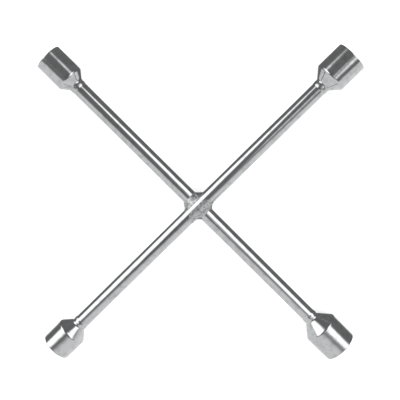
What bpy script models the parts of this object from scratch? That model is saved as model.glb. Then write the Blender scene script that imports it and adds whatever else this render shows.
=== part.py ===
"""Four-way lug wrench: two crossed round bars, four hex sockets and the welds that join them.

The wrench lies flat. The upper bar runs along X and the lower bar along Y; they are halved
into each other where they cross. Z = 0 is the lowest point of the largest socket, straight
below the crossing in X and Y. All sizes are in metres.
"""
import math
from collections import namedtuple

import bmesh
import bpy
from mathutils import Matrix

# ---------------------------------------------------------------- driving sizes
INCH = 0.0254

ARM_REACH = 7 * INCH          # crossing to each socket's mouth: 14 inches from tip to tip
BAR_DIAMETER = 0.5 * INCH
AXIS_OFFSET = 0.25 * INCH     # the upper bar's axis above the lower bar's axis

FIT_GAP = 0.0003              # between two pieces that touch
HALVING_END_GAP = 0.0003      # each end of a halving notch to the bar that it takes

# A bar's end is turned down to a spigot that seats in the back of its socket.
SPIGOT_SHOULDER = 0.00235     # step down from the bar to the spigot, all round
SEAT_DEPTH = 0.0070           # depth of the seat in the socket's back
SEAT_FLOOR = 0.0045           # metal between the seat and the socket's hollow

# V groove and bead of the weld all round each neck.
NECK_LENGTH = 0.0030          # straight neck between the weld and the socket's shoulder
NECK_GROOVE = 0.0018          # depth of the groove, and half its width
NECK_BEAD_RISE = 0.0004       # how far the bead stands proud
NECK_STEP = 0.0003            # the socket's neck is this much larger in radius than the bar

# Sockets: what all four share.
HEX_DEPTH = 0.0150
STUD_BORE_RELIEF = 0.0004     # the round bore behind the hex is this much inside its flats
STUD_BORE_CORNER = 0.0010     # chamfer at the bottom of the bore
LEAD_IN = 0.0002              # the mouth's countersink passes the hex corners by this much
MOUTH_EDGE_RADIUS = 0.0007
SHOULDER_CROWN_RADIUS = 0.0026
SHOULDER_ROOT_RADIUS = 0.0022

# side is the end of its bar, hex_flats the hex across its flats, corner_wall the metal
# outside a hex corner, barrel the straight part and shoulder the cone behind it.
Socket = namedtuple("Socket", "name bar side hex_flats corner_wall barrel shoulder")

SOCKETS = [
    Socket("socket_13_16", "upper", 1, 13 / 16 * INCH, 0.0020, 0.0246, 0.0084),
    Socket("socket_3_4", "upper", -1, 3 / 4 * INCH, 0.0027, 0.0204, 0.0088),
    Socket("socket_11_16", "lower", 1, 11 / 16 * INCH, 0.0020, 0.0258, 0.0066),
    Socket("socket_7_8", "lower", -1, 7 / 8 * INCH, 0.0029, 0.0252, 0.0112),
]

# Fillet beads at the crossing. Each lies along one side of the bar it hugs: leg is how far
# it stands out from that side, and the two reaches are its ends past the other bar's sides.
# A bead on side -1 is turned half round, so its plus end points the other way.
Bead = namedtuple("Bead", "name face side leg reach_plus reach_minus")

BEADS = [
    Bead("front_weld_wide", "front", 1, 0.0050, 0.0056, 0.0042),
    Bead("front_weld_narrow", "front", -1, 0.0024, 0.0018, 0.0040),
    Bead("back_weld_wide", "back", 1, 0.0046, 0.0052, 0.0044),
    Bead("back_weld_narrow", "back", -1, 0.0030, 0.0040, 0.0032),
]
BEAD_RIDGE_ANGLE = math.radians(38)   # how far up the hugged bar's side the bead climbs
BEAD_TOE_RISE = 0.0006                # the bead's outer edge above the bar that it crosses
BEAD_LOBE_HEIGHT = 0.0008             # upright edge of the lobes in the crossing's corners
BEAD_RIDGE_RUN = 0.33                 # share of each reach that the ridge runs on for

# ---------------------------------------------------------------- worked-out sizes
BAR_RADIUS = BAR_DIAMETER / 2
SPIGOT_RADIUS = BAR_RADIUS - SPIGOT_SHOULDER
SEAT_RADIUS = SPIGOT_RADIUS + FIT_GAP
NECK_RADIUS = BAR_RADIUS + NECK_STEP

AXIS_ABOVE_LOWER = {"upper": AXIS_OFFSET, "lower": 0.0}
CORNER_RADIUS = {s.name: s.hex_flats / math.sqrt(3) for s in SOCKETS}
OUTER_RADIUS = {s.name: CORNER_RADIUS[s.name] + s.corner_wall for s in SOCKETS}
LOWER_AXIS_Z = max(OUTER_RADIUS[s.name] - AXIS_ABOVE_LOWER[s.bar] for s in SOCKETS)
AXIS_Z = {bar: LOWER_AXIS_Z + rise for bar, rise in AXIS_ABOVE_LOWER.items()}
HALVING_Z = (AXIS_Z["upper"] + AXIS_Z["lower"]) / 2

ROUND_SEGMENTS = 32
ARC_STEPS = 3
CUT_PAST = 0.0010             # how far a cutter runs past the faces that it opens
GROWN_BAR_LENGTH = 8 * BAR_DIAMETER
SHARP_ANGLE = math.radians(30)

CHROME_COLOUR = (0.66, 0.67, 0.68, 1.0)
WELD_COLOUR = (0.52, 0.53, 0.54, 1.0)
BAR_ROUGHNESS = 0.16
SOCKET_ROUGHNESS = 0.14
WELD_ROUGHNESS = 0.28


def clear_scene():
    """Remove every object that the file opened with."""
    for obj in list(bpy.data.objects):
        bpy.data.objects.remove(obj, do_unlink=True)


def metal(name, colour, roughness):
    """A bare metal finish on a Principled BSDF."""
    material = bpy.data.materials.new(name)
    material.use_nodes = True
    shader = material.node_tree.nodes["Principled BSDF"]
    shader.inputs["Base Color"].default_value = colour
    shader.inputs["Metallic"].default_value = 1.0
    shader.inputs["Roughness"].default_value = roughness
    return material


def add_object(name, bm, parent, matrix, material=None):
    """Turn a bmesh into a named, smooth-shaded object at a place under its parent."""
    mesh = bpy.data.meshes.new(name)
    bm.to_mesh(mesh)
    bm.free()
    if material:
        mesh.materials.append(material)
        mesh.shade_smooth()
        mesh.set_sharp_from_angle(angle=SHARP_ANGLE)
    obj = bpy.data.objects.new(name, mesh)
    bpy.context.scene.collection.objects.link(obj)
    obj.parent = parent
    obj.matrix_local = matrix
    return obj


def add_empty(name, parent, matrix):
    """An empty that holds the pieces of one bar in place."""
    empty = bpy.data.objects.new(name, None)
    bpy.context.scene.collection.objects.link(empty)
    empty.parent = parent
    empty.matrix_local = matrix
    return empty


def add_cutter(name, bm, target, parent, matrix):
    """Cut a shape out of target with a live Boolean; the cutter itself is only a guide."""
    cutter = add_object(name, bm, parent, matrix)
    cutter.hide_render = True
    cutter.display_type = "WIRE"
    cut = target.modifiers.new(name, "BOOLEAN")
    cut.operation = "DIFFERENCE"
    cut.solver = "EXACT"
    cut.object = cutter


def rounded(corners):
    """Replace each corner (r, z, radius) of an open outline by an arc of that radius."""
    outline = []
    for index, (r, z, radius) in enumerate(corners):
        if radius == 0:
            outline.append((r, z))
            continue
        before = corners[index - 1]
        after = corners[index + 1]
        to_before = math.atan2(before[1] - z, before[0] - r)
        to_after = math.atan2(after[1] - z, after[0] - r)
        turn = (to_after - to_before + math.pi) % (2 * math.pi) - math.pi
        half = abs(turn) / 2
        bisector = to_before + turn / 2
        reach = radius / math.sin(half)
        centre_r = r + reach * math.cos(bisector)
        centre_z = z + reach * math.sin(bisector)
        sweep = (math.pi - 2 * half) * math.copysign(1, turn)
        for step in range(ARC_STEPS + 1):
            angle = bisector + math.pi + sweep * (0.5 - step / ARC_STEPS)
            point_r = centre_r + radius * math.cos(angle)
            point_z = centre_z + radius * math.sin(angle)
            outline.append((point_r, point_z))
    return outline


def turned(outline, closed=False):
    """Spin an outline of (r, z) points about Z into one closed solid."""
    bm = bmesh.new()
    verts = [bm.verts.new((r, 0.0, z)) for r, z in outline]
    for first, second in zip(verts, verts[1:]):
        bm.edges.new((first, second))
    if closed:
        bm.edges.new((verts[-1], verts[0]))
    bmesh.ops.spin(
        bm, geom=bm.verts[:] + bm.edges[:], axis=(0, 0, 1), cent=(0, 0, 0),
        angle=2 * math.pi, steps=ROUND_SEGMENTS, use_merge=True)
    bmesh.ops.remove_doubles(bm, verts=bm.verts[:], dist=1e-7)
    bmesh.ops.recalc_face_normals(bm, faces=bm.faces[:])
    return bm


def box(size_x, size_y, size_z, centre):
    """A plain box for a cutter."""
    bm = bmesh.new()
    bmesh.ops.create_cube(bm, size=1.0)
    bmesh.ops.scale(bm, vec=(size_x, size_y, size_z), verts=bm.verts[:])
    bmesh.ops.translate(bm, vec=centre, verts=bm.verts[:])
    return bm


def socket_length(socket):
    """Mouth to the middle of the neck weld."""
    return socket.barrel + socket.shoulder + NECK_LENGTH


def neck_station(socket):
    """Distance from the crossing to the weld between a bar and its socket."""
    return ARM_REACH - socket_length(socket)


def bar_sockets(bar):
    """The sockets at a bar's plus and minus ends, in that order."""
    plus = next(s for s in SOCKETS if s.bar == bar and s.side > 0)
    minus = next(s for s in SOCKETS if s.bar == bar and s.side < 0)
    return plus, minus


# ---------------------------------------------------------------- bars
def bar_end(socket):
    """Outline of one end of a bar, from the tip of its spigot to its full diameter."""
    face = neck_station(socket) - FIT_GAP / 2
    tip = face + SEAT_DEPTH - FIT_GAP
    return [
        (0.0, tip),
        (SPIGOT_RADIUS, tip),
        (SPIGOT_RADIUS, face),
        (BAR_RADIUS - NECK_GROOVE, face),
        (BAR_RADIUS, face - NECK_GROOVE),
    ]


def make_bar(bar, holder, halving_side):
    """A round bar with a spigot at each end and a halving notch where the other bar crosses."""
    plus, minus = bar_sockets(bar)
    far_end = [(r, -z) for r, z in reversed(bar_end(minus))]
    material = metal(f"{bar}_bar_chrome", CHROME_COLOUR, BAR_ROUGHNESS)
    along_x = Matrix.Rotation(math.pi / 2, 4, "Y")
    obj = add_object(f"{bar}_bar", turned(bar_end(plus) + far_end), holder, along_x, material)

    seat = HALVING_Z + halving_side * FIT_GAP / 2 - AXIS_Z[bar]
    depth = BAR_DIAMETER
    notch_length = BAR_DIAMETER + 2 * HALVING_END_GAP
    centre_z = seat - halving_side * depth / 2
    notch = box(notch_length, BAR_DIAMETER + 2 * CUT_PAST, depth, (0, 0, centre_z))
    add_cutter(f"{bar}_bar_notch", notch, obj, holder, Matrix.Identity(4))
    return obj


# ---------------------------------------------------------------- sockets
def socket_body(socket):
    """The turned blank: seat, neck, shoulder and barrel, with the mouth at Z = 0."""
    radius = OUTER_RADIUS[socket.name]
    back = -socket_length(socket) + FIT_GAP / 2
    seat_floor = back + SEAT_DEPTH
    return turned(rounded([
        (0.0, seat_floor, 0),
        (SEAT_RADIUS, seat_floor, 0),
        (SEAT_RADIUS, back, 0),
        (NECK_RADIUS - NECK_GROOVE, back, 0),
        (NECK_RADIUS, back + NECK_GROOVE, 0),
        (NECK_RADIUS, back + NECK_LENGTH, SHOULDER_ROOT_RADIUS),
        (radius, -socket.barrel, SHOULDER_CROWN_RADIUS),
        (radius, 0.0, MOUTH_EDGE_RADIUS),
        (0.0, 0.0, 0),
    ]))


def hollow_depth(socket):
    """Mouth to the floor of the hollow, leaving the seat and its floor behind it."""
    return socket_length(socket) - SEAT_DEPTH - SEAT_FLOOR


def round_hollow(socket):
    """Cutter for the stud bore and the countersunk mouth.

    It is turned by half a segment, so that none of its edges meets a corner of the hex.
    """
    bore = socket.hex_flats / 2 - STUD_BORE_RELIEF
    mouth = CORNER_RADIUS[socket.name] + LEAD_IN
    floor = -hollow_depth(socket)
    bm = turned([
        (0.0, floor),
        (bore - STUD_BORE_CORNER, floor),
        (bore, floor + STUD_BORE_CORNER),
        (bore, -(mouth - bore)),
        (mouth + CUT_PAST, CUT_PAST),
        (0.0, CUT_PAST),
    ])
    half_segment = Matrix.Rotation(math.pi / ROUND_SEGMENTS, 3, "Z")
    bmesh.ops.rotate(bm, matrix=half_segment, verts=bm.verts[:])
    return bm


def hex_hollow(socket):
    """Cutter for the hex, with two of its flats facing up and down."""
    bm = bmesh.new()
    corner = CORNER_RADIUS[socket.name]
    length = HEX_DEPTH + CUT_PAST
    bmesh.ops.create_cone(
        bm, cap_ends=True, segments=6, radius1=corner, radius2=corner, depth=length)
    bmesh.ops.rotate(bm, matrix=Matrix.Rotation(math.pi / 6, 3, "Z"), verts=bm.verts[:])
    bmesh.ops.translate(bm, vec=(0, 0, CUT_PAST - length / 2), verts=bm.verts[:])
    return bm


def make_socket(socket, holder):
    """A forged socket: round outside, hex and stud bore inside, seat at the back."""
    turn = Matrix.Rotation(socket.side * math.pi / 2, 4, "Y")
    place = Matrix.Translation((socket.side * ARM_REACH, 0, 0)) @ turn
    material = metal(f"{socket.name}_chrome", CHROME_COLOUR, SOCKET_ROUGHNESS)
    obj = add_object(socket.name, socket_body(socket), holder, place, material)
    add_cutter(f"{socket.name}_stud_bore", round_hollow(socket), obj, holder, place)
    add_cutter(f"{socket.name}_hex", hex_hollow(socket), obj, holder, place)
    return obj


def make_neck_weld(socket, holder):
    """The ring of weld metal that fills the groove between a bar and its socket."""
    side_gap = FIT_GAP * math.sqrt(2)
    half = NECK_GROOVE - side_gap + FIT_GAP / 2
    root = BAR_RADIUS - NECK_GROOVE + side_gap
    rise = BAR_RADIUS + NECK_BEAD_RISE
    outline = [
        (root, -FIT_GAP / 2),
        (BAR_RADIUS, -half),
        (rise, -half / 2),
        (rise + NECK_STEP, half / 2),
        (NECK_RADIUS, half),
        (root + NECK_STEP, FIT_GAP / 2),
    ]
    turn = Matrix.Rotation(socket.side * math.pi / 2, 4, "Y")
    place = Matrix.Translation((socket.side * neck_station(socket), 0, 0)) @ turn
    name = socket.name.replace("socket", "neck_weld")
    material = metal(f"{name}_chrome", WELD_COLOUR, WELD_ROUGHNESS)
    return add_object(name, turned(outline, closed=True), holder, place, material)


# ---------------------------------------------------------------- welds at the crossing
def bead_blank(bead):
    """Hull of a fillet bead along X, on the +Y side of the bar that it hugs.

    Z = 0 is the hugged bar's axis, and the crossed bar lies AXIS_OFFSET below it.
    """
    foot_z = -AXIS_OFFSET / 2 + FIT_GAP / 2
    lobe_z = foot_z + BEAD_LOBE_HEIGHT
    toe_z = BAR_RADIUS - AXIS_OFFSET + BEAD_TOE_RISE
    ridge_y = BAR_RADIUS * math.cos(BEAD_RIDGE_ANGLE)
    ridge_z = BAR_RADIUS * math.sin(BEAD_RIDGE_ANGLE)
    inner_y = BAR_RADIUS / 2
    outer_y = BAR_RADIUS + bead.leg
    points = []
    for end, reach in ((1, bead.reach_plus), (-1, bead.reach_minus)):
        tip_x = end * (BAR_RADIUS + reach)
        for z in (foot_z, lobe_z):
            points.append((tip_x, inner_y, z))
            points.append((tip_x, BAR_RADIUS, z))
            points.append((end * BAR_RADIUS, outer_y, z))
        points.append((end * BAR_RADIUS / 2, outer_y, toe_z))
        points.append((end * (BAR_RADIUS + BEAD_RIDGE_RUN * reach), ridge_y, ridge_z))
    bm = bmesh.new()
    for point in points:
        bm.verts.new(point)
    bmesh.ops.convex_hull(bm, input=bm.verts[:])
    loose = [v for v in bm.verts if not v.link_faces]
    bmesh.ops.delete(bm, geom=loose, context="VERTS")
    bmesh.ops.recalc_face_normals(bm, faces=bm.faces[:])
    return bm


def grown_bar(axis_z, turn):
    """A bar with the fit gap added all round, to cut a bead clear of it."""
    bm = bmesh.new()
    radius = BAR_RADIUS + FIT_GAP / math.cos(math.pi / ROUND_SEGMENTS)
    bmesh.ops.create_cone(
        bm, cap_ends=True, segments=ROUND_SEGMENTS, radius1=radius, radius2=radius,
        depth=GROWN_BAR_LENGTH)
    bmesh.ops.transform(bm, matrix=turn, verts=bm.verts[:])
    bmesh.ops.translate(bm, vec=(0, 0, axis_z), verts=bm.verts[:])
    return bm


def make_bead(bead, holder):
    """A fillet bead at the crossing, cut to lie against both bars."""
    material = metal(f"{bead.name}_chrome", WELD_COLOUR, WELD_ROUGHNESS)
    flip = Matrix.Rotation(0 if bead.side > 0 else math.pi, 4, "Z")
    turn_over = Matrix.Identity(4) if bead.face == "front" else Matrix.Rotation(math.pi, 4, "X")
    place = turn_over @ flip
    obj = add_object(bead.name, bead_blank(bead), holder, place, material)
    along_x = Matrix.Rotation(math.pi / 2, 4, "Y")
    along_y = Matrix.Rotation(math.pi / 2, 4, "X")
    add_cutter(f"{bead.name}_hugged_bar", grown_bar(0, along_x), obj, holder, place)
    add_cutter(f"{bead.name}_crossed_bar", grown_bar(-AXIS_OFFSET, along_y), obj, holder, place)
    return obj


# ---------------------------------------------------------------- assembly
def build():
    """Make every piece of the wrench under one empty for each bar."""
    clear_scene()
    wrench = add_empty("wrench", None, Matrix.Identity(4))
    quarter_turn = {"upper": 0.0, "lower": math.pi / 2}
    holders = {}
    for bar, turn in quarter_turn.items():
        place = Matrix.Translation((0, 0, AXIS_Z[bar])) @ Matrix.Rotation(turn, 4, "Z")
        holders[bar] = add_empty(f"{bar}_bar_axis", wrench, place)

    make_bar("upper", holders["upper"], halving_side=1)
    make_bar("lower", holders["lower"], halving_side=-1)
    for socket in SOCKETS:
        make_socket(socket, holders[socket.bar])
        make_neck_weld(socket, holders[socket.bar])
    for bead in BEADS:
        make_bead(bead, holders["upper" if bead.face == "front" else "lower"])


build()
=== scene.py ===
# %% [markdown]
# # A four-way lug wrench
#
# A cross wrench is two round steel bars welded at the middle, with a different hex socket
# forged and welded onto each of the four ends. The whole tool is chrome-plated after welding,
# so every piece has the same bright metal on it, and what tells the pieces apart is how the
# steel under the plate was made: drawn bar is smooth with faint lines along it, forged
# sockets are slightly wavy, and weld metal is rippled.
#
# The plain working model is loaded first as a fixed frame. Its pieces give every place and
# size used below, and finely surfaced pieces then stand in for them one by one.

# %% Load the frame
import math

import bpy
import numpy as np
from mathutils import Matrix, Vector


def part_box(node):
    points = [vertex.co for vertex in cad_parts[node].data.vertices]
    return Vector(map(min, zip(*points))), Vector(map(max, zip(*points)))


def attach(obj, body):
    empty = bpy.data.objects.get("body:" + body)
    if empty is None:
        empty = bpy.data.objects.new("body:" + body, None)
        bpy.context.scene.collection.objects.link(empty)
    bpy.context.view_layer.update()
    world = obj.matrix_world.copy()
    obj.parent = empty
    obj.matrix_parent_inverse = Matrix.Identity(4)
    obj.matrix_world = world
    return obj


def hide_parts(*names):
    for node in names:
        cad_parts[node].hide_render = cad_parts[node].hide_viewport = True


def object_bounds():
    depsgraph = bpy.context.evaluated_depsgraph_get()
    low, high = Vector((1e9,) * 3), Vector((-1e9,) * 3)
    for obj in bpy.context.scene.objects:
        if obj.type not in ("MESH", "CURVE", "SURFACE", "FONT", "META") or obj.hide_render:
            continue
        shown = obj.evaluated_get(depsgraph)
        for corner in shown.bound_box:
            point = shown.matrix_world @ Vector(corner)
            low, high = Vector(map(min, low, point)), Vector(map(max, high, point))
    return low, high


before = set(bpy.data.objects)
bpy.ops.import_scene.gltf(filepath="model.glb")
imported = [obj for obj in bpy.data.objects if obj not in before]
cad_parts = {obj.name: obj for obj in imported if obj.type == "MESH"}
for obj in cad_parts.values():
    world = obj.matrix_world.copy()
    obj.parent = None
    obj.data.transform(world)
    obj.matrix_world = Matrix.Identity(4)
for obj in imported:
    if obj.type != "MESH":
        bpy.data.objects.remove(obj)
CAD_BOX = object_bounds()
MM = 0.001
INCH = 0.0254
print("pieces in the frame:", len(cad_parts))

# %% [markdown]
# The driving sizes are read from the frame: the bars' radius and heights, and how far the
# arms reach. `upper` is the bar on top, along X, and `lower` is the one under it, along Y.

# %% Sizes from the frame
low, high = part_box("upper_bar")
BAR_RADIUS = (high.y - low.y) / 2
UPPER_Z = high.z - BAR_RADIUS
LOWER_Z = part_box("lower_bar")[0].z + BAR_RADIUS
AXIS_Z = {"upper": UPPER_Z, "lower": LOWER_Z}
AXIS_OFFSET = UPPER_Z - LOWER_Z
HALVING_Z = (UPPER_Z + LOWER_Z) / 2
ARM_REACH = CAD_BOX[1].x
GAP = 0.3 * MM
print(f"bar {2000 * BAR_RADIUS:.2f} mm, axes {1000 * AXIS_OFFSET:.2f} mm apart, "
      f"arms {1000 * ARM_REACH:.1f} mm")

# %% [markdown]
# ## Tools for surfaces
#
# Nearly everything here is a tube of some kind: a bar, a socket, a ring or a bead of weld.
# Each is a grid of points, with rows along the piece and columns round it. The columns
# always join up. The rows either join up too, which makes a ring, or close on a point at
# each end. Adding up the small pyramids between the faces and the centre gives the volume,
# and a negative volume shows that the faces point inwards, so they are then turned round.

# %% A closed surface from a grid
SHARP_ANGLE = math.radians(32)


def add_object(name, data):
    """Put a mesh, lamp or camera into the scene as an object of its own."""
    made = bpy.data.objects.new(name, data)
    bpy.context.scene.collection.objects.link(made)
    return made


def ring_surface(name, rings, poles=None, attributes=None):
    """Join rings[row, column] into a closed mesh: poles close the two ends, None joins them."""
    rows, columns = rings.shape[:2]
    index = np.arange(rows * columns).reshape(rows, columns)
    here = index if poles is None else index[:-1]
    there = np.roll(index, -1, axis=0) if poles is None else index[1:]
    quads = np.stack(
        [here, np.roll(here, -1, axis=1), np.roll(there, -1, axis=1), there], axis=-1)
    quads = quads.reshape(-1, 4)
    points = rings.reshape(-1, 3)
    fans = np.empty((0, 3), int)
    if poles is not None:
        points = np.vstack([points, poles])
        first, last = index[0], index[-1]
        start = np.stack([np.roll(first, -1), first, np.full(columns, rows * columns)], axis=-1)
        end = np.stack([last, np.roll(last, -1), np.full(columns, rows * columns + 1)], axis=-1)
        fans = np.vstack([start, end])
    triangles = np.vstack([quads[:, [0, 1, 2]], quads[:, [0, 2, 3]], fans])
    a, b, c = (points[triangles[:, corner]] for corner in range(3))
    volume = np.einsum("ij,ij->i", a, np.cross(b, c)).sum() / 6
    if volume < 0:
        quads = quads[:, ::-1]
        fans = fans[:, ::-1]
    mesh = bpy.data.meshes.new(name)
    mesh.from_pydata(points.tolist(), [], quads.tolist() + fans.tolist())
    mesh.shade_smooth()
    mesh.set_sharp_from_angle(angle=SHARP_ANGLE)
    for label, values in (attributes or {}).items():
        flat = values.reshape(-1)
        ends = np.zeros(len(points) - len(flat)) + flat[-1]
        layer = mesh.attributes.new(label, "FLOAT", "POINT")
        layer.data.foreach_set("value", np.concatenate([flat, ends]).astype(np.float32))
    print(f"{name}: {len(triangles)} triangles, {abs(volume) * 1e6:.2f} cm3")
    return add_object(name, mesh)


# %% [markdown]
# A turned piece is drawn as half of its outline, as on a lathe drawing: distance along the
# axis and radius. Corners are given with a radius each, and become arcs. Long straight
# stretches then get extra points, so that slight waves in the metal have somewhere to go.

# %% Outlines
def rounded_outline(corners, steps=8):
    """Corners (station, radius, fillet): each fillet is the arc that touches both sides."""
    outline = []
    for index, (station, radius, fillet) in enumerate(corners):
        corner = np.array([station, radius])
        if fillet == 0:
            outline.append(corner[None])
            continue
        back = np.array(corners[index - 1][:2]) - corner
        ahead = np.array(corners[index + 1][:2]) - corner
        back = back / np.linalg.norm(back)
        ahead = ahead / np.linalg.norm(ahead)
        half = math.acos(np.dot(back, ahead)) / 2
        middle = (back + ahead) / np.linalg.norm(back + ahead)
        centre = corner + middle * fillet / math.sin(half)
        sweep = np.linspace(-1, 1, steps + 1) * (math.pi / 2 - half)
        across = (ahead - back) / np.linalg.norm(ahead - back)
        arc = np.cos(sweep)[:, None] * -middle + np.sin(sweep)[:, None] * across
        outline.append(centre + fillet * arc)
    return np.vstack(outline)


sample = rounded_outline([(0, 0, 0), (10 * MM, 0, 2 * MM), (10 * MM, 10 * MM, 0)])
print(f"a 2 mm fillet on a square corner takes up {10 - sample[1, 0] / MM:.1f} mm of each side")


def filled_outline(outline, step):
    """Add a point at each step along an outline, unless one of its own is already there."""
    runs = np.linalg.norm(np.diff(outline, axis=0), axis=1)
    travelled = np.concatenate([[0.0], np.cumsum(runs)])
    extra = np.arange(0.0, travelled[-1], step)
    stops = np.union1d(travelled, extra)
    close = np.diff(stops) < step / 50
    known = np.isin(stops, travelled)
    drop = np.zeros(len(stops), bool)
    drop[:-1] |= close & ~known[:-1]
    drop[1:] |= close & ~known[1:]
    stops = stops[~drop]
    return np.stack([np.interp(stops, travelled, outline[:, k]) for k in range(2)], axis=-1)


def on_axis(station, across, height, bar, side=1):
    """Points beside a bar's axis: station runs outwards along its plus or minus arm."""
    station, across, height = np.broadcast_arrays(station, across, height)
    if bar == "upper":
        return np.stack([side * station, side * across, UPPER_Z + height], axis=-1)
    return np.stack([-side * across, side * station, LOWER_Z + height], axis=-1)


# %% [markdown]
# ## Finishes
#
# Chrome plate is a very thin layer of chromium over nickel. It takes on the shape of the
# steel under it, however it was made, so the same metal colour serves for every piece and
# only the relief and the haze differ. Colours are given as hex values, as a paint chart has
# them, and turned to the linear values that the renderer needs.

# %% Colour and node helpers
def linear_colour(hex_colour):
    """sRGB to linear: below 0.04045 a straight line, above it a power of 2.4."""
    channels = np.array([int(hex_colour[k:k + 2], 16) for k in (1, 3, 5)]) / 255
    curve = np.where(channels > 0.04045, ((channels + 0.055) / 1.055) ** 2.4, channels / 12.92)
    return (*curve.tolist(), 1.0)


print(f"half-bright grey #808080 is {linear_colour('#808080')[0]:.3f} of white in linear light")


def new_material(name):
    """A material with its node tree and the shader that it comes with."""
    material = bpy.data.materials.new(name)
    material.use_nodes = True
    return material, material.node_tree, material.node_tree.nodes["Principled BSDF"]


def add_node(tree, kind, inputs=None, **settings):
    """Add one node: settings are its properties, inputs its values or what feeds them."""
    new = tree.nodes.new(kind)
    for name, value in settings.items():
        setattr(new, name, value)
    for socket, value in (inputs or {}).items():
        if isinstance(value, bpy.types.NodeSocket):
            tree.links.new(value, new.inputs[socket])
        else:
            new.inputs[socket].default_value = value
    return new


# %% [markdown]
# Three layers of small marks make the plate look handled. Fine lines run along a drawn bar,
# left by the die that it was pulled through. Haze comes from fingers and cloths, in patches
# of about 6 mm, and makes some places a little less sharp. Waves come from how the steel was
# worked: 4 mm wide on drawn bar, 3 mm on a forging, and 1.6 to 2 mm on weld metal as it sets.
# Each is a noise texture sized in millimetres on Object coordinates, which are metres here,
# so its scale is 1 / size. A Mix node's inputs 6 and 7 are its two colours, and 2 and 3 are
# its two numbers.
#
# Real drawing lines are a few hundredths of a millimetre wide, too fine to show, so they are
# drawn 0.25 mm wide.

# %% Chrome plate
CHROMIUM = "#C6C8C9"
CHROMIUM_HAZED = "#B1B2B2"
BORE_PLATE = "#8D8A85"
BORE_ROUGHNESS = 0.42
WELD_SCALE = "#5E5E5C"
HAZE_STARTS = 0.45
HAZE_FULL = 0.75
LINE_WIDTH = 0.25 * MM
LINE_LENGTH = 60 * MM
LINE_DEPTH = 0.002 * MM


def chrome_plate(name, roughness, haze, wave_size, wave_depth, lines_along=None, bore=False,
                 hazed=CHROMIUM_HAZED, haze_size=6 * MM):
    """Chromium plate over steel; lines_along is the axis that the drawing lines follow."""
    material, tree, shader = new_material(name)
    shader.inputs["Metallic"].default_value = 1.0
    place = add_node(tree, "ShaderNodeTexCoord").outputs["Object"]

    patches = add_node(tree, "ShaderNodeTexNoise", {
        "Vector": place, "Scale": 1 / haze_size, "Detail": 4.0, "Roughness": 0.6})
    smears = add_node(tree, "ShaderNodeMapRange", {
        "Value": patches.outputs["Fac"], "From Min": HAZE_STARTS, "From Max": HAZE_FULL,
        "To Min": 0.0, "To Max": 1.0})
    tint = add_node(tree, "ShaderNodeMix", {
        0: smears.outputs["Result"], 6: linear_colour(CHROMIUM),
        7: linear_colour(hazed)}, data_type="RGBA")
    dullness = add_node(tree, "ShaderNodeMapRange", {
        "Value": smears.outputs["Result"], "To Min": roughness, "To Max": roughness + haze})
    colour = tint.outputs[2]
    gloss = dullness.outputs["Result"]

    if bore:
        inside = add_node(tree, "ShaderNodeAttribute", attribute_name="inside").outputs["Fac"]
        colour = add_node(tree, "ShaderNodeMix", {
            0: inside, 6: colour, 7: linear_colour(BORE_PLATE)}, data_type="RGBA").outputs[2]
        gloss = add_node(tree, "ShaderNodeMix", {
            0: inside, 2: gloss, 3: BORE_ROUGHNESS}, data_type="FLOAT").outputs[0]

    waves = add_node(tree, "ShaderNodeTexNoise", {
        "Vector": place, "Scale": 1 / wave_size, "Detail": 2.0, "Roughness": 0.45})
    relief = add_node(tree, "ShaderNodeBump", {
        "Height": waves.outputs["Fac"], "Distance": wave_depth, "Strength": 1.0})
    normal = relief.outputs["Normal"]
    if lines_along:
        scale = [1 / LINE_WIDTH] * 3
        scale["XYZ".index(lines_along)] = 1 / LINE_LENGTH
        stretched = add_node(tree, "ShaderNodeMapping", {"Vector": place, "Scale": scale})
        lines = add_node(tree, "ShaderNodeTexNoise", {
            "Vector": stretched.outputs["Vector"], "Scale": 1.0, "Detail": 1.0})
        normal = add_node(tree, "ShaderNodeBump", {
            "Height": lines.outputs["Fac"], "Distance": LINE_DEPTH, "Strength": 1.0,
            "Normal": normal}).outputs["Normal"]

    tree.links.new(colour, shader.inputs["Base Color"])
    tree.links.new(gloss, shader.inputs["Roughness"])
    tree.links.new(normal, shader.inputs["Normal"])
    return material


# %% [markdown]
# There are four kinds of steel under the plate:
#
# - drawn bar gives long clean reflections, with faint lines along the bar;
# - turned and polished forging is as sharp as the bar, but its reflections waver, and the
#   bore is dull because plating hardly reaches into it;
# - weld metal as it set has a soft grey shine, mottled by dark scale between the ripples;
# - weld that was filed before plating is nearly as bright as the bar, and wavier.

# %% The four finishes
BAR_PLATE = {
    bar: chrome_plate(
        f"chrome_plated_drawn_steel_{bar}", roughness=0.06, haze=0.10,
        wave_size=4 * MM, wave_depth=0.03 * MM, lines_along=axis)
    for bar, axis in (("upper", "X"), ("lower", "Y"))}
SOCKET_PLATE = chrome_plate(
    "chrome_plated_forged_steel", roughness=0.06, haze=0.10,
    wave_size=3 * MM, wave_depth=0.035 * MM, bore=True)
WELD_PLATE = chrome_plate(
    "chrome_plated_weld_metal", roughness=0.42, haze=0.16,
    wave_size=1.6 * MM, wave_depth=0.22 * MM, hazed=WELD_SCALE, haze_size=1.8 * MM)
NECK_PLATE = chrome_plate(
    "chrome_plated_dressed_weld", roughness=0.12, haze=0.10,
    wave_size=2 * MM, wave_depth=0.05 * MM)
print("finishes:", [material.name for material in bpy.data.materials])


def finish_piece(piece, material, slot, *stands_for):
    """Give a piece its finish, its body and the frame piece that it stands for."""
    piece.data.materials.append(material)
    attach(piece, "root")
    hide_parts(*stands_for)


# %% [markdown]
# ## Bars
#
# Each bar is a length of half-inch round steel. Its ends are turned down to a spigot that
# seats in the back of a socket, and the shoulder is chamfered to make half of the weld's
# groove. Where the bars cross, each has a notch as long as the other is wide, so that they
# sit half into each other. A circle below its middle only gets narrower, so the notch is
# simply every point past the notch's floor moved onto that floor.

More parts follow.
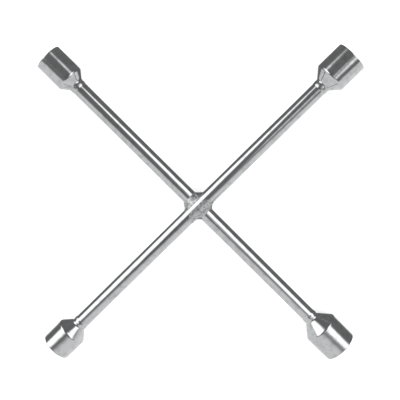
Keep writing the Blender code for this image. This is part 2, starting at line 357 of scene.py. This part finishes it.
# %% Socket and bar sizes
NECK_LENGTH = 3.0 * MM
NECK_GROOVE = 1.8 * MM
NECK_STEP = 0.3 * MM
SEAT_DEPTH = 7.0 * MM
SEAT_FLOOR = 4.5 * MM
SPIGOT_SHOULDER = 2.35 * MM
SPIGOT_RADIUS = BAR_RADIUS - SPIGOT_SHOULDER

# name: bar, side, hex across flats, length of the shoulder
SOCKETS = {
    "13_16": ("upper", 1, 13 / 16 * INCH, 8.4 * MM),
    "3_4": ("upper", -1, 3 / 4 * INCH, 8.8 * MM),
    "11_16": ("lower", 1, 11 / 16 * INCH, 6.6 * MM),
    "7_8": ("lower", -1, 7 / 8 * INCH, 11.2 * MM),
}


def socket_box(size):
    """Length and outer radius of a socket, from its box in the frame."""
    corner_low, corner_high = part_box(f"socket_{size}")
    extent = corner_high - corner_low
    length = extent.x if SOCKETS[size][0] == "upper" else extent.y
    return length + GAP / 2, extent.z / 2


def neck_station(bar, side):
    """Distance from the crossing to the weld at one end of a bar."""
    size = next(name for name, row in SOCKETS.items() if row[:2] == (bar, side))
    return ARM_REACH - socket_box(size)[0]


for size in SOCKETS:
    length, radius = socket_box(size)
    print(f"socket {size}: {length / MM:.1f} mm long, {2 * radius / MM:.1f} mm across")

# %% [markdown]
# A bar starts as its lathe outline, from spigot to spigot. The circles that the outline
# gives are then held above or below the notch's floor for the length of the notch. The
# notch's end walls are 0.004 mm thick in the grid, which is as good as square.

# %% Make the bars
BAR_COLUMNS = 128
BAR_STEP = 1.5 * MM
BAR_WAVE = 0.005 * MM
NOTCH_WALL = 0.004 * MM


def bar_end(station):
    """Outline from a spigot's tip to the full bar, for a weld at this station."""
    face = station - GAP / 2
    tip = face + SEAT_DEPTH - GAP
    return [
        (tip, SPIGOT_RADIUS, 0),
        (face, SPIGOT_RADIUS, 0),
        (face, BAR_RADIUS - NECK_GROOVE, 0),
        (face - NECK_GROOVE, BAR_RADIUS, 0),
    ]


def make_bar(bar, keeps_above):
    """Circles of the bar's radius along its axis, held above or below the notch's floor."""
    plus = bar_end(neck_station(bar, 1))
    minus = [(-station, radius, 0) for station, radius, _ in bar_end(neck_station(bar, -1))]
    notch_end = BAR_RADIUS + GAP
    edges = (notch_end + NOTCH_WALL / 2, notch_end - NOTCH_WALL / 2)
    notch = [(station, BAR_RADIUS, 0) for station in (*edges, -edges[1], -edges[0])]
    outline = rounded_outline(plus + notch + minus[::-1])
    outline = filled_outline(outline, BAR_STEP)
    station, radius = outline[:, :1], outline[:, 1:]
    angle = np.linspace(0, 2 * math.pi, BAR_COLUMNS, endpoint=False)
    # drawn bar is never quite true: two slow waves, each a hundredth of a millimetre high
    wave = np.sin(2 * math.pi * station / (23 * MM) + 2 * angle)
    wave = wave + np.sin(2 * math.pi * station / (37 * MM) - angle + 1.3)
    radius = radius - (wave + 2) * BAR_WAVE
    across = radius * np.cos(angle)
    height = radius * np.sin(angle)
    floor = HALVING_Z - AXIS_Z[bar] + (GAP / 2 if keeps_above else -GAP / 2)
    held = np.maximum(height, floor) if keeps_above else np.minimum(height, floor)
    height = np.where(np.abs(station) < notch_end, held, height)
    poles = on_axis(outline[[0, -1], 0], 0.0, 0.0, bar)
    rings = on_axis(station, across, height, bar)
    return ring_surface(f"{bar}_drawn_bar", rings, poles)


for bar, keeps_above in (("upper", True), ("lower", False)):
    finish_piece(make_bar(bar, keeps_above), BAR_PLATE[bar], "bar_chrome", f"{bar}_bar")

# %% [markdown]
# ## Sockets
#
# A socket is forged from bar, turned outside, and its hex is punched in hot. Behind the hex
# a round bore leaves room for the end of the stud. The mouth is countersunk so that it
# finds the nut, and where that cone meets the six flats it leaves six scallops.
#
# The whole socket could be cut with Booleans, but a single grid is cleaner and has no stray
# edges. Its rows run from the seat at the back, over the outside, round the mouth and down
# the inside. The columns are close together near the hex's corners, where the shape turns
# quickest, and the inside rows are placed column by column, so that one of them lies right
# on the scalloped edge.

# %% The hex
HEX_CORNER_FILLET = 0.7 * MM
COLUMNS_PER_CORNER = 32
CROWDING = 1.6
HALF_SIDE = math.radians(30)

from_corner = np.linspace(-1, 1, COLUMNS_PER_CORNER, endpoint=False)
from_corner = HALF_SIDE * np.sign(from_corner) * np.abs(from_corner) ** CROWDING
HEX_COLUMNS = (np.radians(np.arange(0, 360, 60))[:, None] + from_corner).ravel()
FROM_CORNER = np.tile(from_corner, 6)


def hex_radius(flats):
    """Distance to a hex's side: half flats / cos(angle from the flat), or the corner's arc."""
    flat = flats / 2 / np.cos(HALF_SIDE - np.abs(FROM_CORNER))
    centre = (flats / 2 - HEX_CORNER_FILLET) / math.cos(HALF_SIDE)
    inside = np.maximum(HEX_CORNER_FILLET ** 2 - (centre * np.sin(FROM_CORNER)) ** 2, 0)
    arc = centre * np.cos(FROM_CORNER) + np.sqrt(inside)
    turned = math.atan2(HEX_CORNER_FILLET * math.sin(HALF_SIDE),
                        centre + HEX_CORNER_FILLET * math.cos(HALF_SIDE))
    return np.where(np.abs(FROM_CORNER) < turned, arc, flat)


print(f"{len(HEX_COLUMNS)} columns round each socket, closest at the hex's corners")

# %% [markdown]
# The outside is one lathe outline, with a chamfered neck, a conical shoulder and a round
# barrel. The inside changes from column to column, so it is given as rows of distances from
# the mouth and rows of radii: six rows down each short stretch and fourteen down a long one.

# %% Socket shape
HEX_DEPTH = 15.0 * MM
STUD_BORE_RELIEF = 0.4 * MM
STUD_BORE_CORNER = 1.0 * MM
LEAD_IN = 0.2 * MM
MOUTH_EDGE_RADIUS = 0.7 * MM
SHOULDER_CROWN_RADIUS = 2.6 * MM
SHOULDER_ROOT_RADIUS = 2.2 * MM
SOCKET_STEP = 0.8 * MM
SHORT_ROWS = 6
LONG_ROWS = 14
STEP_LENGTH = 0.6
FLOOR_REACH = 0.9


def socket_outside(size):
    """Outline from the seat's floor to the edge of the mouth's countersink."""
    *_, flats, shoulder = SOCKETS[size]
    length, radius = socket_box(size)
    back = ARM_REACH - length + GAP / 2
    neck = BAR_RADIUS + NECK_STEP
    seat = SPIGOT_RADIUS + GAP
    mouth = flats / math.sqrt(3) + LEAD_IN
    crown = back - GAP / 2 + NECK_LENGTH + shoulder
    outline = rounded_outline([
        (back + SEAT_DEPTH, seat, 0),
        (back, seat, 0),
        (back, neck - NECK_GROOVE, 0),
        (back + NECK_GROOVE, neck, 0),
        (back + NECK_LENGTH, neck, SHOULDER_ROOT_RADIUS),
        (crown, radius, SHOULDER_CROWN_RADIUS),
        (ARM_REACH, radius, MOUTH_EDGE_RADIUS),
        (ARM_REACH, mouth, 0),
    ])
    return filled_outline(outline, SOCKET_STEP)


def socket_inside(size):
    """Rows (station, radius) per column: countersink, hex wall, step, bore, corner and floor."""
    flats = SOCKETS[size][2]
    length = socket_box(size)[0]
    wall = hex_radius(flats)
    mouth = flats / math.sqrt(3) + LEAD_IN
    bore = flats / 2 - STUD_BORE_RELIEF
    floor = length - SEAT_DEPTH - SEAT_FLOOR
    countersunk = mouth - wall
    down = np.linspace(0, 1, SHORT_ROWS + 1)[1:, None]
    along = np.linspace(0, 1, LONG_ROWS + 1)[1:, None]
    cone = (down * countersunk, mouth - down * countersunk)
    flat_sides = (countersunk + along * (HEX_DEPTH - countersunk), wall + 0 * along)
    step_back = STEP_LENGTH * (wall - bore)
    step = (HEX_DEPTH + down * step_back, wall + down * (bore - wall))
    first = HEX_DEPTH + step_back
    last = floor - STUD_BORE_CORNER
    tube = (first + along * (last - first), bore + 0 * along + 0 * wall)
    turn_in = down * math.pi / 2
    corner = (last + STUD_BORE_CORNER * np.sin(turn_in) + 0 * wall,
              bore - STUD_BORE_CORNER * (1 - np.cos(turn_in)) + 0 * wall)
    centre = bore - STUD_BORE_CORNER
    plate = (floor + 0 * down + 0 * wall, centre * (1 - FLOOR_REACH * down) + 0 * wall)
    parts = (cone, flat_sides, step, tube, corner, plate)
    depth = np.vstack([part[0] for part in parts])
    return ARM_REACH - depth, np.vstack([part[1] for part in parts])


# %% [markdown]
# The forging's waves go on the outside only. An attribute called `inside` tells the finish
# which points lie in the bore. It rises over the countersink, because plating thins out from
# the mouth inwards.

# %% Make the sockets
FORGING_WAVE = 0.006 * MM


def make_socket(size):
    """One grid over the outside and the inside, with the forging's slight waves outside."""
    bar, side, flats, _ = SOCKETS[size]
    outline = socket_outside(size)
    station = outline[:, :1] + 0 * HEX_COLUMNS
    radius = outline[:, 1:] + 0 * HEX_COLUMNS
    wave = np.sin(2 * math.pi * station / (13 * MM) + 3 * HEX_COLUMNS)
    wave = wave + np.sin(2 * math.pi * station / (9 * MM) - 2 * HEX_COLUMNS + flats / MM)
    radius = radius - (wave + 2) * FORGING_WAVE * (radius > BAR_RADIUS)
    inner_station, inner_radius = socket_inside(size)
    inside = np.zeros(len(station) + len(inner_station))
    inside[len(station):] = 1.0
    inside[len(station):len(station) + SHORT_ROWS] = np.linspace(0.2, 0.8, SHORT_ROWS)
    station = np.vstack([station, inner_station])
    radius = np.vstack([radius, inner_radius])
    # flats face up and down, so the corners lie to either side
    rings = on_axis(
        station, radius * np.cos(HEX_COLUMNS), radius * np.sin(HEX_COLUMNS), bar, side)
    poles = on_axis(station[[0, -1], 0], 0.0, 0.0, bar, side)
    inside = np.repeat(inside[:, None], len(HEX_COLUMNS), axis=1)
    return ring_surface(f"socket_{size}_forged", rings, poles, {"inside": inside})


for size in SOCKETS:
    finish_piece(make_socket(size), SOCKET_PLATE, "socket_chrome", f"socket_{size}")

# %% [markdown]
# ## Neck welds
#
# Each socket is welded to its bar all round, in a V groove, and the weld is dressed nearly
# flush before plating. Weld metal sets in small waves as the torch goes round, each a little
# under 2 mm from the last, and dressing leaves only a trace of them. The ring's section is a
# wedge that fills the groove. Its edges run a little way onto the bar and the socket, and
# sink into them there, as fused metal does, so that no seam shows.

# %% Make the neck welds
NECK_RIPPLES = 23
NECK_COLUMNS = 8 * NECK_RIPPLES
NECK_ROWS = 17
RIPPLE_BOW = 0.8
WELD_RUN_ON = 0.3 * MM
WELD_BITE = 0.08 * MM
NECK_CROWN = 0.22 * MM
NECK_RIPPLE = 0.06 * MM


def make_neck_weld(size):
    """Section: wedge below the surface, low crown above it, scaled by the ripples."""
    bar, side = SOCKETS[size][:2]
    centre = neck_station(bar, side)
    angle = np.linspace(0, 2 * math.pi, NECK_COLUMNS, endpoint=False)
    half = NECK_GROOVE + GAP / 2 + WELD_RUN_ON
    root = BAR_RADIUS - NECK_GROOVE + GAP
    crown = np.linspace(-1, 1, NECK_ROWS)[:, None]
    ripple = np.abs(np.sin(NECK_RIPPLES * angle / 2 + RIPPLE_BOW * crown ** 2))
    rise = (NECK_CROWN + NECK_RIPPLE * ripple) * np.cos(crown * math.pi / 2) - WELD_BITE
    base = BAR_RADIUS + NECK_STEP * (1 + crown) / 2
    station = np.vstack([
        centre + half * crown + 0 * angle,
        np.full((1, NECK_COLUMNS), centre + GAP / 2),
        np.full((1, NECK_COLUMNS), centre - GAP / 2)])
    radius = np.vstack([base + rise, np.full((2, NECK_COLUMNS), root)])
    rings = on_axis(station, radius * np.cos(angle), radius * np.sin(angle), bar, side)
    return ring_surface(f"neck_weld_{size}_bead", rings)


for size in SOCKETS:
    finish_piece(make_neck_weld(size), NECK_PLATE, "weld_chrome", f"neck_weld_{size}")

# %% [markdown]
# ## Welds at the crossing
#
# Four fillet beads tie the bars together, two on the front against the upper bar and two on
# the back against the lower bar. Each lies in the corner between the side of one bar and
# the top of the other, and runs on past it into the corners, where it slopes off to half
# height. One of each pair was built up wide. The other is narrow, and on the front a thin
# skin of it was washed right over the top of the bar, where it makes a dull patch.
#
# A bead is a section carried along the bar that it hugs. The section starts at the ridge,
# high on the hugged bar, comes down the free face to the toe on the crossed bar, and goes
# back buried inside both bars. Where a straight free face would cut into the hugged bar it
# is pushed out to a thin skin over it.

# %% Bead sizes
# name: face, side of the hugged bar, width in mm, run past the crossed bar at each end in mm,
# angle of the ridge up the hugged bar in degrees, run of the skin at each end in mm
BEADS = {
    "front_weld_wide": ("front", 1, 5.0, (4.2, 5.6), 42, (4.8, 6.0)),
    "front_weld_narrow": ("front", -1, 2.4, (4.0, 1.8), 108, (7.0, 7.5)),
    "back_weld_wide": ("back", 1, 4.6, (4.4, 5.2), 42, (5.0, 6.0)),
    "back_weld_narrow": ("back", -1, 3.0, (3.2, 4.0), 50, (5.0, 6.0)),
}
BEAD_ROWS = 140
FACE_COLUMNS = 26
BURIED_COLUMNS = 10
SKIN_END_ANGLE = math.radians(20)
SKIN = 0.22 * MM
BURIED = 0.5 * MM
RIPPLE_PITCH = 1.5 * MM
RIPPLE_HEIGHT = 0.096 * MM
BLUNT_END = 0.998


def share_past(x, runs):
    """0 over the crossed bar, rising to 1 at the end of the run (in mm) on either side."""
    run = np.where(x > 0, runs[1], runs[0]) * MM
    return np.clip((np.abs(x) - BAR_RADIUS) / run, 0, 1)


print(f"{len(BEADS)} beads, ripples {RIPPLE_PITCH / MM:.1f} mm apart")

# %% [markdown]
# Two things shape a section on its way along the bead. `past` is how far it has run past the
# crossed bar, and draws the toe in. `fullness` is 1 in the middle and falls in a quarter
# circle to almost nothing at the ends, and draws ridge and toe together.

# %% Bead shape
def bead_sections(width, runs, ridge_degrees, skin_runs):
    """Sections along X as (x, y, z): a straight face from ridge to toe, kept off the bar's
    circle, and an arc back inside it; Z = 0 is the hugged bar's axis."""
    first, last = -BAR_RADIUS - skin_runs[0] * MM, BAR_RADIUS + skin_runs[1] * MM
    x = np.linspace(first, last, BEAD_ROWS)[:, None]
    past = share_past(x, runs)
    fullness = np.sqrt(1 - BLUNT_END * share_past(x, skin_runs) ** 2)
    foot = -AXIS_OFFSET / 2
    crossed = -AXIS_OFFSET + np.sqrt(np.maximum(BAR_RADIUS ** 2 - x ** 2, 0))
    base = np.maximum(crossed, foot)

    # ridge and toe draw together towards the ends, on the side of the hugged bar
    ridge = SKIN_END_ANGLE + (math.radians(ridge_degrees) - SKIN_END_ANGLE) * fullness
    end_z = BAR_RADIUS * math.sin(SKIN_END_ANGLE)
    toe_z = end_z + (base - end_z) * np.minimum(1, 1.25 * fullness)
    side_y = np.sqrt(np.maximum(BAR_RADIUS ** 2 - toe_z ** 2, 0))
    toe_y = side_y + (BAR_RADIUS + width * MM - side_y) * (1 - past)
    ridge_y, ridge_z = BAR_RADIUS * np.cos(ridge), BAR_RADIUS * np.sin(ridge)

    down = np.linspace(0, 1, FACE_COLUMNS)[None, :]
    free_y = ridge_y + (toe_y - ridge_y) * down
    free_z = ridge_z + (toe_z - ridge_z) * down
    distance = np.hypot(free_y, free_z)
    hump = np.sin(down * math.pi) ** 0.5
    skin = SKIN * hump * np.minimum(1, 2 * fullness) - WELD_BITE
    # ripples bow along the bead, and a slower wave makes them uneven
    wave = np.abs(np.sin(math.pi * (x / RIPPLE_PITCH + 1.2 * down ** 2)))
    wave = wave + 0.6 * np.sin(2 * math.pi * (x / (2.7 * RIPPLE_PITCH) - 1.7 * down))
    ripple = RIPPLE_HEIGHT * (wave - 0.6) * hump * fullness
    outward = (np.maximum(distance, BAR_RADIUS + skin) + ripple) / distance
    free_y, free_z = free_y * outward, free_z * outward

    back = np.linspace(0, 1, BURIED_COLUMNS + 2)[None, 1:-1]
    toe_angle = np.arctan2(toe_z, side_y)
    inner = toe_angle + (ridge - toe_angle) * back
    y = np.hstack([free_y, toe_y - BURIED, (BAR_RADIUS - BURIED) * np.cos(inner)])
    z = np.hstack([free_z, toe_z - BURIED, (BAR_RADIUS - BURIED) * np.sin(inner)])
    return x + 0 * y, y, z


# %% [markdown]
# The same section serves on both faces. The back beads hug the lower bar and are made like
# the front ones, turned over. A side of -1 turns a bead half round about the upright axis.

# %% Make the crossing's welds
def make_crossing_bead(name):
    """Carry the section along the hugged bar, turned over for the back and round for a side."""
    face, side, *sizes = BEADS[name]
    x, y, z = bead_sections(*sizes)
    if face == "front":
        rings = on_axis(x, y, z, "upper", side)
    else:
        rings = on_axis(x, -y, -z, "lower", side)
    poles = rings[[0, -1]].mean(axis=1)
    return ring_surface(f"{name}_bead", rings, poles)


for name in BEADS:
    finish_piece(make_crossing_bead(name), WELD_PLATE, "weld_chrome", name)

# %% [markdown]
# ## Studio
#
# Chrome shows almost nothing but its surroundings, so the studio matters as much as the
# plate. A wrench like this is shown in a light tent: white cloth all round, with a lamp
# behind the cloth on each side, and the far side left unlit. The lamps draw the bright line
# along each bar, the unlit side draws the dark line beside it, and the cloth on the near
# side fills the lower half of every bar with an even grey.
#
# The floor is matt white paper, brightly lit. Reflections don't see it, so that what the
# bars show is the tent alone.

# %% Floor
PAPER = "#F4F4F4"
PAPER_MOTTLED = "#EFEFEE"
PAPER_MOTTLE_SIZE = 30 * MM


def matt_white(name):
    """Matt white paper: rough and even to the eye, with a barely seen mottle of 30 mm."""
    material, tree, shader = new_material(name)
    place = add_node(tree, "ShaderNodeTexCoord").outputs["Object"]
    mottle = add_node(tree, "ShaderNodeTexNoise", {
        "Vector": place, "Scale": 1 / PAPER_MOTTLE_SIZE, "Detail": 3.0})
    colour = add_node(tree, "ShaderNodeMix", {
        0: mottle.outputs["Fac"], 6: linear_colour(PAPER), 7: linear_colour(PAPER_MOTTLED)},
        data_type="RGBA")
    tree.links.new(colour.outputs[2], shader.inputs["Base Color"])
    shader.inputs["Roughness"].default_value = 0.9
    shader.inputs["Specular IOR Level"].default_value = 0.2
    return material


def add_stage(name, points, faces, material):
    """A piece of the studio, which isn't part of the wrench."""
    mesh = bpy.data.meshes.new(name)
    mesh.from_pydata(points.reshape(-1, 3).tolist(), [], faces.tolist())
    mesh.materials.append(material)
    piece = add_object(name, mesh)
    return piece


FLOOR_SIZE = 12.0
FLOOR_CORNERS = FLOOR_SIZE / 2 * np.array([[-1, -1, 0], [1, -1, 0], [1, 1, 0], [-1, 1, 0]])
floor = add_stage("floor", FLOOR_CORNERS, np.arange(4)[None], matt_white("matt_white_paper"))
floor.visible_glossy = False
print(f"floor {FLOOR_SIZE:.0f} m square")

# %% [markdown]
# Places in the tent are given as a lean: how many degrees a direction leans from straight
# up, to the right and towards the top as the camera sees the wrench. `VIEW_UP` is the way
# on the floor that is up in the camera's view, midway between the two plus arms. The lean's
# length is the angle from straight up, so 90 degrees is the horizon.

# %% Directions in the tent
VIEW_UP = np.array([1.0, 1.0, 0.0]) / math.sqrt(2)
VIEW_RIGHT = np.array([1.0, -1.0, 0.0]) / math.sqrt(2)


def lean_of(directions):
    """Lean (right, up) in degrees: the angle from straight up, shared out by direction."""
    angle = np.degrees(np.arccos(np.clip(directions[..., 2], -1, 1)))
    right, up = directions @ VIEW_RIGHT, directions @ VIEW_UP
    flat = np.hypot(right, up) + 1e-9
    return angle * right / flat, angle * up / flat


def soft_step(distance, softness):
    """0 to 1 as distance goes from below zero to above it: a logistic curve."""
    return 1 / (1 + np.exp(-np.clip(distance / softness, -30, 30)))


def soft_patch(lean, centre, half_size, turn, softness):
    """1 inside a turned rectangle of leans: a step across times a step along, both soft."""
    turn = math.radians(turn)
    right, up = lean[0] - centre[0], lean[1] - centre[1]
    across = right * math.cos(turn) + up * math.sin(turn)
    along = up * math.cos(turn) - right * math.sin(turn)
    return (soft_step(half_size[0] - np.abs(across), softness)
            * soft_step(half_size[1] - np.abs(along), softness))


print(f"level and to the right is a lean of {lean_of(VIEW_RIGHT)[0]:.0f} degrees")

# %% [markdown]
# The tent is a sphere round the crossing. Its glow is worked out for every point of the
# mesh and kept as an attribute, which the material shows as plain emission. Only
# reflections see it, so it neither lights the floor nor blocks the camera.
#
# Below a line the near cloth glows, and above it the far cloth is dim. The line is soft in
# the middle and crisper to the sides, slopes down a little to the right, and rises where the
# near cloth is pulled up at each side. Two pale patches of ceiling beside the camera's hood
# keep the dark line on the bars from being too wide.

# %% The tent's light
# patches: lean of the centre, half width and height in degrees, turn in degrees, radiance
LAMPS = [
    ((-54.7, 29.2), (22.3, 30.3), 2, 2.0),
    ((38.9, 20.5), (18.4, 27.5), 7, 2.0),
]
CEILING_PATCHES = [
    ((9, 1), (5, 6), -45, 1.3),
    ((20, -10), (5, 4), -45, 0.7),
]
PATCH_SOFTNESS = 2.2
NEAR_CLOTH = 0.91
FAR_CLOTH = 0.20
# the cloth's line, all in degrees of lean except its slope
LINE_HEIGHT = -24
LINE_SLOPE = -0.07
LINE_SOFT_MIDDLE = 4.5
LINE_SOFT_SIDES = 1.5
MIDDLE_RIGHT = -2
MIDDLE_HALF_WIDTH = 30
MIDDLE_FADE = 3
# which side, lean at the middle of the rise, and height of the rise
SIDE_RISES = [(1, 64, 42), (-1, 76, 25)]
RISE_FADE = 2.5
# the near cloth is brightest low on the right: where that starts and how softly, in degrees
# from straight up and in degrees to the right
BRIGHT_CORNER = 1.04
CORNER_LEAN = (95, 6)
CORNER_RIGHT = (20, 8)


def tent_glow(directions):
    """Near cloth below the line, far cloth above it, and all the patches over both."""
    lean = lean_of(directions)
    beside = soft_step(np.abs(lean[0] - MIDDLE_RIGHT) - MIDDLE_HALF_WIDTH, MIDDLE_FADE)
    softness = LINE_SOFT_MIDDLE + (LINE_SOFT_SIDES - LINE_SOFT_MIDDLE) * beside
    line = LINE_HEIGHT + LINE_SLOPE * lean[0]
    for side, start, rise in SIDE_RISES:
        line = line + rise * soft_step(side * lean[0] - start, RISE_FADE)
    near = soft_step(line - lean[1], softness)
    corner = soft_step(np.hypot(*lean) - CORNER_LEAN[0], CORNER_LEAN[1])
    corner = corner * soft_step(lean[0] - CORNER_RIGHT[0], CORNER_RIGHT[1])
    near_glow = NEAR_CLOTH + (BRIGHT_CORNER - NEAR_CLOTH) * corner
    glow = FAR_CLOTH + (near_glow - FAR_CLOTH) * near
    for centre, half_size, turn, radiance in [*LAMPS, *CEILING_PATCHES]:
        patch = soft_patch(lean, centre, half_size, turn, PATCH_SOFTNESS)
        glow = glow + (radiance - glow) * patch
    return glow


print(f"glow straight up: {tent_glow(np.array([0.0, 0.0, 1.0])):.2f}")

# %% [markdown]
# The mesh is a globe of 2 degree steps with the two poles left just open, since nothing
# looks at them closely. Its material is bare emission and is left out when the renderer
# picks lamps to aim at, because only reflections should find it.

# %% Tent
TENT_RADIUS = 1.74


def glowing_cloth(name):
    """Lit cloth: plain emission from the mesh's own glow, and not sampled as a lamp."""
    material, tree, shader = new_material(name)
    tree.nodes.remove(shader)
    glow = add_node(tree, "ShaderNodeAttribute", attribute_name="glow").outputs["Fac"]
    light = add_node(tree, "ShaderNodeEmission", {"Strength": glow})
    output = tree.nodes["Material Output"]
    tree.links.new(light.outputs["Emission"], output.inputs["Surface"])
    material.cycles.emission_sampling = "NONE"
    return material


def only_in_reflections(piece, glow):
    """Store the glow and hide the piece from everything but glossy rays."""
    layer = piece.data.attributes.new("glow", "FLOAT", "POINT")
    layer.data.foreach_set("value", np.asarray(glow, np.float32).ravel())
    piece.visible_camera = False
    piece.visible_diffuse = False
    piece.visible_transmission = False
    piece.visible_shadow = False


def grid_faces(rows, columns):
    """Faces between the rows of a grid whose columns join up."""
    index = np.arange(rows * columns).reshape(rows, columns)
    beside = np.roll(index, -1, axis=1)
    return np.stack([index[:-1], beside[:-1], beside[1:], index[1:]], axis=-1).reshape(-1, 4)


CLOTH = glowing_cloth("glowing_cloth")
# rows fall from straight up to straight down, and columns turn about the upright axis
fall = np.radians(np.linspace(0.01, 179.99, 181))[:, None]
turn = np.radians(np.arange(0, 360, 2))[None, :]
sphere = np.stack([
    np.sin(fall) * np.cos(turn), np.sin(fall) * np.sin(turn), np.cos(fall) + 0 * turn], axis=-1)
glow = tent_glow(sphere)
tent = add_stage(
    "light_tent", TENT_RADIUS * sphere + [0, 0, HALVING_Z], grid_faces(*sphere.shape[:2]), CLOTH)
only_in_reflections(tent, glow)
print(f"tent: {glow.size} points, glow {glow.min():.2f} to {glow.max():.2f}")

# %% [markdown]
# The camera looks in through a hole with a dark hood round it. The wrench is close enough
# for the hood to be a dim disc overhead. It covers part of the tent, and covers a different
# part from each place along the bars, which makes their dark middle line change along them.

# %% Hood
HOOD_HEIGHT = 0.387
HOOD_RADIUS = 0.145
HOOD_LEFT = 0.08
HOOD_GLOW = 0.20
angle = np.radians(np.arange(0, 360, 5))
ring = np.stack([np.cos(angle), np.sin(angle), 0 * angle], axis=-1)
hood_centre = -HOOD_LEFT * VIEW_RIGHT + [0, 0, HOOD_HEIGHT]
hood = add_stage(
    "camera_hood", hood_centre + HOOD_RADIUS * ring, np.arange(len(angle))[None], CLOTH)
only_in_reflections(hood, np.full(len(angle), HOOD_GLOW))
print(f"hood {2 * HOOD_RADIUS / MM:.0f} mm across, {HOOD_HEIGHT / MM:.0f} mm above the floor")

# %% [markdown]
# The paper is lit by two soft boxes where the lamps are and by an even white surround.
# Together they are a little more than enough to make the paper white, so only the closest
# shadows under the wrench still show.

# %% Lights
SOFT_BOX_SIZE = 1.2
SURROUND_STRENGTH = 1.7


def soft_box(name, lean, radiance):
    """Square light facing the wrench; its power is radiance x area x pi."""
    data = bpy.data.lights.new(name, "AREA")
    data.size = SOFT_BOX_SIZE
    data.energy = radiance * SOFT_BOX_SIZE ** 2 * math.pi
    lamp = add_object(name, data)
    angle = math.radians(math.hypot(*lean))
    bearing = math.atan2(lean[1], lean[0])
    flat = VIEW_RIGHT * math.cos(bearing) + VIEW_UP * math.sin(bearing)
    way = Vector(flat * math.sin(angle) + np.array([0, 0, math.cos(angle)]))
    turn = way.to_track_quat("Z", "Y").to_matrix().to_4x4()
    lamp.matrix_world = Matrix.Translation(way * TENT_RADIUS) @ turn
    lamp.visible_glossy = False
    print(f"{name}: {data.energy:.1f} W, {math.degrees(angle):.0f} degrees from straight up")


for name, (centre, *_, radiance) in zip(("left", "right"), LAMPS):
    soft_box(f"soft_box_{name}", centre, radiance)

world = bpy.data.worlds.new("white_surround")
bpy.context.scene.world = world
world.use_nodes = True
background = world.node_tree.nodes["Background"]
background.inputs["Color"].default_value = linear_colour("#FFFFFF")
background.inputs["Strength"].default_value = SURROUND_STRENGTH

# %% [markdown]
# ## Camera
#
# The camera looks almost straight down, from about 58 cm away and 10 degrees over to the
# far side. At the wrench its view is about a third of a metre wide. The view is set from
# where the camera stands, what it looks at, and which way is up.

# %% Camera
CAMERA_PLACE = Vector((0.0782, 0.0610, 0.5934))
CAMERA_TARGET = Vector((0, 0, HALVING_Z))
CAMERA_TOP = Vector((0.694, 0.700, -0.169))
back = (CAMERA_PLACE - CAMERA_TARGET).normalized()
right = CAMERA_TOP.cross(back).normalized()
top = back.cross(right)
camera_data = bpy.data.cameras.new("camera")
camera_data.sensor_width = 36
camera_data.lens = 61.24
camera_data.shift_x = 0.0041
camera_data.shift_y = 0.0165
camera = add_object("camera", camera_data)
camera.matrix_world = Matrix.Translation(CAMERA_PLACE) @ Matrix(
    (right, top, back)).transposed().to_4x4()
bpy.context.scene.camera = camera
bpy.context.scene.view_settings.view_transform = "Standard"
print(f"camera {(CAMERA_PLACE - CAMERA_TARGET).length:.3f} m from the crossing")
